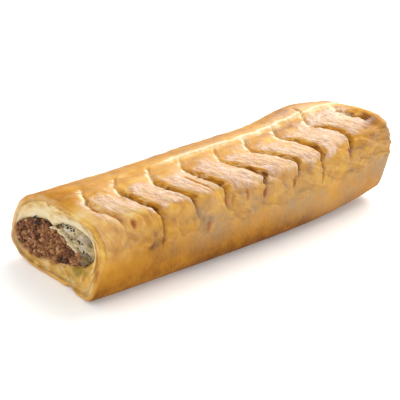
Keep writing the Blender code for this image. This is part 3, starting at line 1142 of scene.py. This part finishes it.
        # Whitish flour on the pillows: partly floury dough, partly a painted highlight; kept out of
        # the slashes' painted shade.
        chalk = floury * (1.0 - rise(wall, 0.12, 0.55)) * (1.0 - groove)
        chalk *= np.clip(0.80 + 0.4 * flakes["streak"] + 0.35 * patch, 0.0, 1.0)
        dusty = rise(s, 0.029, 0.035) * rise(u, -0.062, -0.025)
        dusty *= 1.0 - rise(s, 0.044 + 0.012 * far, 0.057 + 0.010 * far)
        stretched = (1.0 - rise(u, -0.066, -0.050)) * rise(s, 0.015, 0.022)
        chalk += 0.28 * (1.0 - chalk) * stretched * (1.0 - rise(s, 0.038, 0.050))
        mealy = np.clip(0.15 + 0.08 * patch + 0.06 * wide, 0.0, 0.4) * dusty
        browning += 0.06 * dusty + (0.10 * patch + 0.07 * crumpled) * flakes["foot"]
        browning -= 0.24 * stretched * (1.0 - rise(s, 0.046, 0.056))
        broken = rise(patch + 0.6 * lumps(places, 0.0016, 2, 10.0), -0.22, 0.10)
        # Pale: the dough's own pale cracks, crease and mealy patches, plus painted highlights on
        # the nearer pillow's edge and on torn layers' edges.
        pale = np.clip(0.80 * cuts["crack"] * broken
                       + 0.42 * cuts["edge"] * broken * (1.0 - rise(s, 0.028, 0.036))
                       + 0.85 * crease + 0.30 * flakes["rim"] + mealy
                       + 0.34 * bell(s - 0.0010, 0.0034) * rise(u, -0.032, -0.016) * broken,
                       0.0, 0.9)
        char = np.clip(burn * (0.80 + 0.7 * patch), 0.0, 0.92)
        glaze = np.clip(0.60 - 0.35 * rise(s, -0.002, 0.003) + 0.40 * bell(s - 0.009, 0.005)
                        + 0.25 * floury - 0.25 * rise(s, 0.034, 0.045) + 0.25 * wide + 0.4 * burn
                        - 0.7 * wall - 0.5 * bell(u + 0.072, 0.014), 0.0, 1.0)
        flaky = np.clip(0.10 + 0.9 * floury + 0.55 * flakes["foot"]
                        + 0.15 * rise(s, 0.034, 0.040), 0.0, 1.0)
        olive = 0.05 * rise(s, 0.033, 0.038) * (1.0 - rise(s, 0.046, 0.056)) * (1.0 + 1.5 * wide)
        return {"browning": np.clip(browning, 0.0, 1.0), "pale": pale, "chalk": chalk,
                "char": char, "olive": np.clip(olive, 0.0, 0.4), "glaze": glaze, "flaky": flaky,
                "along": u / MM, "around": s / MM}

    def lip(self, outer: Array, inner: Array, end: End,
            fields: Fields) -> tuple[Array, Fields]:
        """The cut edge, with its layers of dough and painted shade, from the crust in to the bore.

        Args:
            outer: the crust's last ring.
            inner: the bore's ring opposite it.
            end: which end.
            fields: the crust's fields on its last ring.

        Returns:
            Places by ring, from the crust inwards, and their fields.
        """
        share = (np.arange(1, self.lip_rings + 1) / (self.lip_rings + 1))[:, None]
        places = outer[None] + (inner - outer)[None] * share[..., None]
        wall = np.linalg.norm(inner - outer, axis=1)[None]
        depth = share * wall
        around = np.repeat(fields["around"][None], len(share), axis=0)
        rough = lumps(places, 0.0055, 3, 11.0)
        rolled = np.stack([depth, around * MM, depth * 0], axis=-1)
        ragged = lumps(rolled, (0.0016, 0.0100, 1.0), 3, 12.0)
        outer_roll = np.sqrt(np.clip(1.0 - (1.0 - np.clip(depth / 0.0017, 0, 1)) ** 2, 0, 1))
        sink = rise(depth, 0.0022, 0.0045) * 0.0007
        # seam: a groove between the outer lip and the inner layers, also darkened in colour as
        # painted shade.
        seam = bell(depth - 0.0026 - 0.0006 * rough, 0.0004)
        layer = np.sin(2 * np.pi * (depth / self.lamina + 0.8 * ragged))
        inside = rise(depth, 0.0018, 0.0030) * (1.0 - rise(share, 0.80, 1.0))
        relief = self.lip_rounding * outer_roll - sink - 0.0005 * seam + 0.0004 * rough * outer_roll
        relief = relief + (0.00020 * layer + 0.00035 * ragged) * inside
        relief = relief - 0.0006 * rise(share, 0.86, 1.0)
        places[..., 0] += end.value * relief
        y, z = places[..., 1], places[..., 2]
        # upper: the lip's top; lower down, the lip's colour is painted darker, as painted shade.
        upper = rise(z, 0.0140, 0.0260)
        front = rise(-y, 0.008, 0.022) * rise(z, 0.008, 0.014)
        turned = depth - 0.0010 * upper - 0.0027 * front + 0.0007 * rough
        skin = 1.0 - rise(turned, 0.0005, 0.0021)
        # fold: a dark line at the skin's inner edge on the front, painted shade.
        fold = bell(turned - 0.0022, 0.0005) * front
        # The inner layers' tone, with painted shade in the seam and on the lower part of the lip.
        crumb_and_shade = (0.24 + 0.30 * ragged + 0.12 * layer + 0.35 * seam + 0.16 * rough
                 + 0.14 * (1.0 - upper))
        browned = np.minimum(fields["browning"][None], 0.56) * (1.0 - 0.6 * rise(y, 0.018, 0.027))
        browning = browned * skin + (1.0 - skin) * crumb_and_shade + 0.55 * fold
        blank = np.zeros_like(browning)
        across = z - 0.0100 - 0.42 * (-y - 0.0130)
        soaked = bell(y + 0.0130, 0.0050) * bell(across, 0.0024)
        film = rise(share, 0.30, 0.8) * rise(z, 0.016, 0.022)
        stains = rise(lumps(places, 0.0050, 3, 13.0), 0.10, 0.34) * (1.0 - upper)
        stained = (0.10 + 0.30 * ragged + 0.30 * stains) * inside
        # The olive tint includes painted shade in the seam.
        olive = np.clip(stained + 0.90 * soaked + 0.3 * seam, 0.0, 0.9)
        scorch = bell(y + 0.0262, 0.0012) * bell(z - 0.0125, 0.0020)
        # Pale is lowered along the fold and on the lower part of the lip: painted shade.
        return places, {"browning": np.clip(browning, 0, 1),
                        "pale": np.clip(0.65 * film * (1.0 + ragged) + 0.20 * (1.0 - skin)
                                        - 0.3 * rough - 0.5 * soaked - 0.6 * fold
                                        - 0.12 * (1.0 - upper), 0.0, 1.0),
                        "chalk": blank + 0.45 * rise(y, 0.018, 0.027),
                        "char": np.clip(fields["char"][None] * skin + 0.7 * scorch, 0.0, 0.9),
                        "olive": olive * (1.0 - 0.7 * film), "glaze": 0.45 + 0.2 * rough,
                        "flaky": 0.35 + blank, "along": depth / MM + 100.0, "around": around}

    def build(self) -> None:
        """Builds the crust as one closed piece and gives it its material."""
        outside, fields = self.outside()
        count = outside.shape[1]
        reach = self.shape.half - self.lip_rounding
        inside = np.zeros((self.bore_rings, count, 3))
        for index, u in enumerate(np.linspace(reach, -reach, self.bore_rings)):
            ring = outside[int(np.argmin(np.abs(self.stations - u)))]
            angle = np.arctan2(ring[:, 2] - self.shape.bore_centre[1],
                               ring[:, 1] - self.shape.bore_centre[0])
            y, z = self.shape.bore(u, angle)
            inside[index] = np.stack([np.full(count, u), y, z], axis=-1)
        far, far_fields = self.lip(outside[-1], inside[0], End.FAR,
                                   {key: value[-1] for key, value in fields.items()})
        near, near_fields = self.lip(outside[0], inside[-1], End.NEAR,
                                     {key: value[0] for key, value in fields.items()})
        places = np.concatenate([outside, far, inside, near[::-1]])
        merged = {}
        for key, value in fields.items():
            link = np.linspace(0.0, 1.0, self.bore_rings)[:, None]
            bore_value = far_fields[key][-1] * (1.0 - link) + near_fields[key][-1] * link
            merged[key] = np.concatenate([value, far_fields[key], bore_value,
                                          near_fields[key][::-1]])
        crust = wrap_grid("puff_pastry_crust", Placement.settle(self.shape, places), merged)
        crust.data.materials.append(self.finish.material())
        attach(crust, "root")
        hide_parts(Node.PASTRY.value)
        LOG.info("crust: %d faces", len(crust.data.polygons))


def grid_normals(places: Array) -> Array:
    """Outward unit normals of a grid.

    Args:
        places: points by column along the roll and by row round it.

    Returns:
        One normal for each point.
    """
    along = np.gradient(places, axis=0)
    across = np.roll(places, -1, 1) - np.roll(places, 1, 1)
    normal = np.cross(across, along)
    return normal / np.maximum(np.linalg.norm(normal, axis=-1, keepdims=True), 1e-12)


class Placement:
    """Puts straight places where the CAD model lies."""

    shift = np.zeros(3)

    @classmethod
    def settle(cls, shape: RollShape, places: Array) -> Array:
        """Bows the places and moves them onto the CAD model."""
        return shape.bend(places) + cls.shift

    @classmethod
    def find(cls, crust: PastryCrust) -> None:
        """Finds the shift from the plain crust's box to the CAD crust's box.

        Args:
            crust: the crust, before its relief.
        """
        low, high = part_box(Node.PASTRY.value)
        places = crust.shape.bend(crust.plain_surface()[0])
        box_low, box_high = places.reshape(-1, 3).min(0), places.reshape(-1, 3).max(0)
        for axis in (0, 1):
            middle = (low[axis] + high[axis]) / 2
            cls.shift[axis] = middle - (box_low[axis] + box_high[axis]) / 2
        LOG.info("shift onto the CAD model, mm: %s", np.round(cls.shift * 1000, 2))


# ---------------------------------------------------------------------------------------------
# What shows at the cut ends
# ---------------------------------------------------------------------------------------------

@dataclass
class Core:
    """One side of the bore's content: a long form with finely divided, uneven ends."""

    shape: RollShape
    points: int = 176
    face_rings: int = 34
    side_rings: int = 8
    recess: float = 0.0005

    def section(self, u: float, above: bool) -> Array:
        """Its outline at one station.

        Args:
            u: the station.
            above: True for the moist side, False for the meat.

        Returns:
            Points as y and z, evenly spaced.
        """
        angle = np.linspace(0, 2 * np.pi, 2880, endpoint=False)
        y, z = self.shape.bore(u, angle, self.shape.gap)
        normal = np.array([-math.sin(self.shape.moist_slope), math.cos(self.shape.moist_slope)])
        side = 1.0 if above else -1.0
        edge = self.shape.moist_edge
        beyond = (y - edge[0]) * normal[0] + (z - edge[1]) * normal[1]
        kept = side * beyond > self.shape.gap / 2
        first = int(np.argmax(kept & ~np.roll(kept, 1)))
        y, z, kept = np.roll(y, -first), np.roll(z, -first), np.roll(kept, -first)
        y, z = y[kept], z[kept]
        y, z = np.append(y, y[0]), np.append(z, z[0])
        lengths = np.concatenate([[0.0], np.cumsum(np.hypot(np.diff(y), np.diff(z)))])
        marks = np.arange(self.points) / self.points * lengths[-1]
        return np.stack([np.interp(marks, lengths, y), np.interp(marks, lengths, z)], axis=-1)

    def surface(self, above: bool) -> tuple[Array, Array]:
        """The whole closed form, pole to pole.

        Args:
            above: True for the moist side, False for the meat.

        Returns:
            Places by ring and point, and how much each is part of a cut face, from 0 to 1.
        """
        reach = self.shape.half - self.recess
        grow = np.linspace(0.0, 1.0, self.face_rings + 1)
        halves = {}
        for end in End:
            outline = self.section(end.value * reach, above)
            middle = outline.mean(axis=0)
            disc = []
            for share in grow:
                x = np.full(self.points, end.value * (reach + 0.0008 * (1.0 - share ** 4)))
                disc.append(np.column_stack([x, middle + (outline - middle) * share]))
            halves[end] = disc
        weight = 1.0 - rise(grow, 0.93, 1.0)
        sides = []
        for number in range(1, self.side_rings):
            u = -reach + 2 * reach * number / self.side_rings
            sides.append(np.column_stack([np.full(self.points, u), self.section(u, above)]))
        places = np.array(halves[End.NEAR] + sides + halves[End.FAR][::-1])
        weights = np.concatenate([weight, np.zeros(len(sides)), weight[::-1]])
        return places, np.repeat(weights[:, None], self.points, axis=1)


def dark_spots(places: Array) -> Array:
    """Where the meat's cut face is darker.

    Args:
        places: points.

    Returns:
        Values from 0 to 1, high in a clump at the back edge, at the middle and at the lower front.
    """
    y, z = places[..., 1], places[..., 2]
    back = bell(y - 0.0232, 0.0022) * bell(z - 0.0178, 0.0026)
    middle = bell(y - 0.0125, 0.0022) * bell(z - 0.0160, 0.0034)
    along, across = (z - 0.0110) - (y + 0.0055), (z - 0.0110) + (y + 0.0055)
    front = bell(along, 0.0068) * bell(across, 0.0032)
    return np.clip(0.8 * back + 0.9 * front + 0.6 * middle, 0.0, 1.0)


@dataclass
class SausageFilling:
    """The meat: a core with crumbly ends and coarse grains of mince bedded in them."""

    shape: RollShape
    finish: CookedMince
    grains: int = 640
    grain_sizes: Pair = (0.00028, 0.00080)
    seed: int = 11

    def core(self) -> bpy.types.Object:
        """Builds the long core, whose ends are broken up.

        Returns:
            The core.
        """
        places, face = Core(self.shape).surface(above=False)
        near, second, number = cells(places, 0.0021, 1.0)
        coarse = lumps(places, 0.0045, 3, 12.0)
        fine = lumps(places, 0.0010, 2, 13.0)
        outward = np.sign(places[..., 0])
        cracks = 1.0 - rise(second - near, 0.02, 0.22)
        relief = 0.0010 * coarse - 0.0009 * cracks + 0.0006 * fine + 0.0004 * (number - 0.5)
        places[..., 0] += outward * relief * face
        # The tone is darker in the cracks between the cells: painted shade.
        tone = 0.50 + 0.45 * coarse - 0.45 * cracks + 0.30 * (number - 0.5)
        tone -= 0.5 * dark_spots(places)
        return wrap_grid("sausage_meat_core", Placement.settle(self.shape, places),
                         {"tone": np.clip(tone, 0.0, 1.0)}, poles=True)

    def mince(self) -> bpy.types.Object:
        """Scatters uneven pebbles of mince over both cut ends, as one piece.

        Returns:
            The grains.
        """
        deselect()
        bpy.ops.mesh.primitive_ico_sphere_add(subdivisions=2, radius=1.0)
        pebble = bpy.context.object
        pebble.name = "mince_grains"
        ball = np.array([vertex.co for vertex in pebble.data.vertices])
        faces = np.array([polygon.vertices for polygon in pebble.data.polygons])
        rng = np.random.default_rng(self.seed)
        points, corners, tones = [], [], []
        core = Core(self.shape)
        face = self.shape.half - core.recess
        for end in End:
            outline = core.section(end.value * face, above=False)
            middle = outline.mean(axis=0)
            for _ in range(self.grains):
                y, z = middle + (outline[rng.integers(len(outline))] - middle) * (
                    math.sqrt(rng.random()) * 0.965)
                place = np.array([end.value * (face + rng.uniform(-0.0006, 0.0004)), y, z])
                swell = 1.0 + 0.45 * lumps(ball + rng.uniform(0, 50, 3), 1.1, 2, 30.0)
                body = ball * swell[:, None] * rng.uniform(0.5, 1.5, 3)
                turn = np.array(Matrix.Rotation(rng.uniform(0, math.tau), 3, rng.normal(size=3)))
                radius = rng.uniform(*self.grain_sizes) * (1.5 if rng.random() < 0.1 else 1.0)
                corners.append(faces + len(points) * len(ball))
                points.append(body @ turn.T * radius + place)
                shade = float(lumps(place, 0.0050, 2, 12.0))
                tone = rng.normal(0.55, 0.15) + 0.45 * shade - 0.6 * float(dark_spots(place))
                tones.append(np.full(len(ball), np.clip(tone, 0.0, 1.0)))
        where = Placement.settle(self.shape, np.concatenate(points))
        mesh = bpy.data.meshes.new("mince_grains")
        mesh.from_pydata(where.tolist(), [], np.concatenate(corners).tolist())
        pebble.data = mesh
        store(pebble, "tone", np.concatenate(tones))
        deselect()
        pebble.select_set(True)
        bpy.ops.object.shade_smooth()
        return pebble

    def build(self) -> None:
        """Builds and dresses the meat."""
        core, grains = self.core(), self.mince()
        material = self.finish.material()
        for item in (core, grains):
            item.data.materials.append(material)
            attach(item, "root")
            LOG.info("%s: %d faces", item.name, len(item.data.polygons))
        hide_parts(Node.FILLING.value)


@dataclass
class MoistDough:
    """The wet dough over the meat's front edge: a band, a juicy glob in the corner and a film."""

    shape: RollShape
    finish: SteamedDough
    film_finish: PlainTone = PlainTone("raw_dough_film", "#EADFC0", "#CDBB8C", 0.3)
    juice_finish: PlainTone = PlainTone("meat_juices", "#3E2808", "#7D6014", 0.36, 0.0024)
    glob_centre: Pair = (-0.0178, 0.0150)
    glob_size: tuple[float, float, float] = (0.0011, 0.0046, 0.0022)
    glob_tilt: float = math.radians(-22)
    film_path: tuple[Pair, ...] = (
        (1.5, 22.0), (-1.0, 22.4), (-3.5, 22.7), (-6.0, 21.6), (-9.0, 20.0), (-11.5, 18.7),
        (-13.8, 17.3))

    def band(self) -> bpy.types.Object:
        """Builds the band that runs through.

        Returns:
            The band.
        """
        places, face = Core(self.shape, recess=0.0009).surface(above=True)
        soft = lumps(places, 0.0042, 3, 14.0)
        streak = lumps(places, (0.002, 0.0045, 0.0011), 3, 15.0)
        outward = np.sign(places[..., 0])
        places[..., 0] += outward * (0.0008 * soft + 0.0005 * streak) * face
        tone = 0.66 + 0.30 * soft + 0.30 * streak
        tone -= 0.25 * (1.0 - rise(places[..., 1], -0.019, -0.012))
        tone -= 0.50 * (1.0 - rise(places[..., 2], 0.0165, 0.0195))
        band = wrap_grid("wet_dough_band", Placement.settle(self.shape, places),
                         {"tone": np.clip(tone, 0.0, 1.0)}, poles=True)
        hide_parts(Node.MOIST_LAYER.value)
        return band

    def globs(self) -> bpy.types.Object:
        """Builds the glob of green-brown juices in the lower front corner of each cut end.

        Returns:
            Both globs, as one piece.
        """
        items = []
        for end in End:
            deselect()
            bpy.ops.mesh.primitive_ico_sphere_add(subdivisions=5, radius=1.0)
            item = bpy.context.object
            ball = np.array([vertex.co for vertex in item.data.vertices])
            rough = lumps(ball, 0.75, 4, 16.0 + end.value)
            body = ball * (1.0 + 0.55 * rough)[:, None] * np.array(self.glob_size)
            cosine, sine = math.cos(self.glob_tilt), math.sin(self.glob_tilt)
            y = body[:, 1] * cosine - body[:, 2] * sine + self.glob_centre[0]
            z = body[:, 1] * sine + body[:, 2] * cosine + self.glob_centre[1]
            x = body[:, 0] + end.value * (self.shape.half - 0.0010)
            where = Placement.settle(self.shape, np.stack([x, y, z], axis=-1))
            item.data.vertices.foreach_set("co", where.astype(np.float32).ravel())
            store(item, "tone", np.clip(0.14 + 0.35 * rough, 0.0, 1.0))
            items.append(item)
        globs = join_as("juice_globs", items)
        bpy.ops.object.shade_smooth()
        return globs

    def films(self) -> bpy.types.Object:
        """Builds the thin pale film of dough that stands out between meat and band.

        Returns:
            Both ends' films, as one piece.
        """
        items = []
        length = len(self.film_path)
        for end in End:
            deselect()
            bpy.ops.mesh.primitive_grid_add(x_subdivisions=40, y_subdivisions=4, size=1.0)
            item = bpy.context.object
            for vertex in item.data.vertices:
                share = (vertex.co.x + 0.5) * (length - 1)
                out = vertex.co.y + 0.5
                marks = range(length)
                y = float(np.interp(share, marks, [point[0] for point in self.film_path])) * MM
                z = float(np.interp(share, marks, [point[1] for point in self.film_path])) * MM
                wave = math.sin(share * 3.1) * 0.00025 + math.sin(share * 7.3) * 0.00012
                x = end.value * (self.shape.half - 0.0016 + out * (0.0025 + 2.0 * wave))
                bent = Placement.settle(self.shape, np.array([x, y, z + wave + 0.0003 * out]))
                vertex.co = Vector(bent)
            shell = item.modifiers.new("thickness", "SOLIDIFY")
            shell.thickness = 0.00046
            shell.offset = 0.0
            bpy.ops.object.modifier_apply(modifier=shell.name)
            items.append(item)
        films = join_as("raw_dough_films", items)
        bpy.ops.object.shade_smooth()
        return films

    def build(self) -> None:
        """Builds and dresses the wet dough."""
        band, globs, films = self.band(), self.globs(), self.films()
        material = self.finish.material()
        band.data.materials.append(material)
        globs.data.materials.append(self.juice_finish.material())
        films.data.materials.append(self.film_finish.material())
        for item in (band, globs, films):
            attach(item, "root")
            LOG.info("%s: %d faces", item.name, len(item.data.polygons))


@dataclass
class PepperSpecks:
    """Cracked pepper and herb specks, in clusters along the wet dough and the meat's upper edge."""

    shape: RollShape
    finish: PlainTone = PlainTone("cracked_pepper", "#1E1B12", "#3C3A22", 0.6)
    clusters: tuple[tuple[float, float, int], ...] = (
        (-4.5, 25.0, 7), (-8.0, 25.3, 7), (-11.5, 25.2, 8), (-16.5, 22.0, 6), (-19.0, 19.5, 6),
        (-10.0, 22.0, 3), (13.0, 22.0, 6), (9.5, 21.4, 3))
    spread: float = 0.0010
    seed: int = 4
    sizes: Pair = (0.00018, 0.00046)

    def build(self) -> None:
        """Scatters the specks over both cut ends and joins them into one piece."""
        rng = random.Random(self.seed)
        items = []
        for end, (across, up, count) in itertools.product(End, self.clusters):
            for _ in range(count):
                y = across * MM + rng.gauss(0.0, 1.3 * self.spread)
                z = up * MM + rng.gauss(0.0, 0.5 * self.spread)
                x = end.value * (self.shape.half + rng.uniform(-0.0003, 0.0003))
                deselect()
                bpy.ops.mesh.primitive_ico_sphere_add(subdivisions=1, radius=1.0)
                speck = bpy.context.object
                speck.scale = [rng.uniform(*self.sizes) for _ in range(3)]
                speck.rotation_euler = [rng.uniform(0, math.tau) for _ in range(3)]
                speck.location = Placement.settle(self.shape, np.array([x, y, z]))
                items.append(speck)
        specks = join_as("pepper_specks", items)
        specks.data.materials.append(self.finish.material())
        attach(specks, "root")
        LOG.info("pepper specks: %d faces", len(specks.data.polygons))


# ---------------------------------------------------------------------------------------------
# The studio
# ---------------------------------------------------------------------------------------------

@dataclass(frozen=True)
class Softbox:
    """One square area light: where it hangs as azimuth, elevation and distance, and its light."""

    name: str
    azimuth: float
    elevation: float
    distance: float
    size: float
    watts: float
    colour: str = "#FFFFFF"


@dataclass
class Studio:
    """A white table, soft light from behind and the right, and a long lens."""

    azimuth: float = -40.86
    elevation: float = 22.37
    distance: float = 0.518
    lens: float = 116.4
    target: tuple[float, float, float] = (0.0004, -0.0041, 0.020)
    aim_right: float = -0.00697
    aim_up: float = -0.00537
    room_light: float = 0.74
    boxes: tuple[Softbox, ...] = (
        Softbox("key_softbox", 108.0, 46.0, 0.85, 0.80, 8.4, "#FFFCF6"),
        Softbox("fill_softbox", -70.0, 35.0, 0.90, 0.60, 1.5),
    )

    @staticmethod
    def direction(azimuth: float, elevation: float) -> Vector:
        """Unit vector from the roll towards a viewer at that azimuth and elevation, in degrees."""
        a, e = math.radians(azimuth), math.radians(elevation)
        return Vector((math.sin(a) * math.cos(e), -math.cos(a) * math.cos(e), math.sin(e)))

    def light(self) -> None:
        """Hangs the softboxes and sets the white surroundings."""
        for box in self.boxes:
            lamp = bpy.data.lights.new(box.name, "AREA")
            lamp.size = box.size
            lamp.energy = box.watts
            lamp.color = linear(box.colour)[:3]
            item = bpy.data.objects.new(box.name, lamp)
            bpy.context.scene.collection.objects.link(item)
            back = self.direction(box.azimuth, box.elevation)
            item.location = back * box.distance
            item.rotation_euler = back.to_track_quat("Z", "Y").to_euler()
        world = bpy.data.worlds.new("white_room")
        world.use_nodes = True
        background = world.node_tree.nodes["Background"]
        background.inputs["Color"].default_value = linear("#FFFFFF")
        background.inputs["Strength"].default_value = self.room_light
        bpy.context.scene.world = world
        bpy.context.scene.view_settings.view_transform = "Standard"

    def table(self) -> None:
        """Lays the white table."""
        deselect()
        bpy.ops.mesh.primitive_circle_add(vertices=96, radius=3.0, fill_type="NGON")
        table = bpy.context.object
        table.name = "white_table"
        table.data.materials.append(
            PlainTone("white_laminate", "#F7F7F5", "#F9F9F8", 0.6, 0.05, 0.22).material())

    def camera(self) -> None:
        """Sets up the long lens."""
        lens = bpy.data.cameras.new("long_lens")
        lens.lens = self.lens
        lens.sensor_width = 36.0
        lens.clip_start = 0.01
        item = bpy.data.objects.new("long_lens", lens)
        bpy.context.scene.collection.objects.link(item)
        back = self.direction(self.azimuth, self.elevation)
        target = Vector(self.target)
        item.location = target + back * self.distance
        right = Vector((0, 0, 1)).cross(back).normalized()
        up = back.cross(right)
        aim = target + right * self.aim_right + up * self.aim_up
        item.rotation_euler = (item.location - aim).to_track_quat("Z", "Y").to_euler()
        bpy.context.scene.camera = item

    def build(self) -> None:
        """Sets up the table, the light and the camera."""
        self.table()
        self.light()
        self.camera()


def main() -> None:
    """Builds the roll and its studio."""
    logging.basicConfig(level=logging.INFO, format="%(name)s: %(message)s")
    shape = RollShape()
    crust = PastryCrust(shape, BakedCrust())
    Placement.find(crust)
    crust.build()
    SausageFilling(shape, CookedMince()).build()
    MoistDough(shape, SteamedDough()).build()
    PepperSpecks(shape).build()
    Studio().build()


if __name__ == "__main__":
    main()
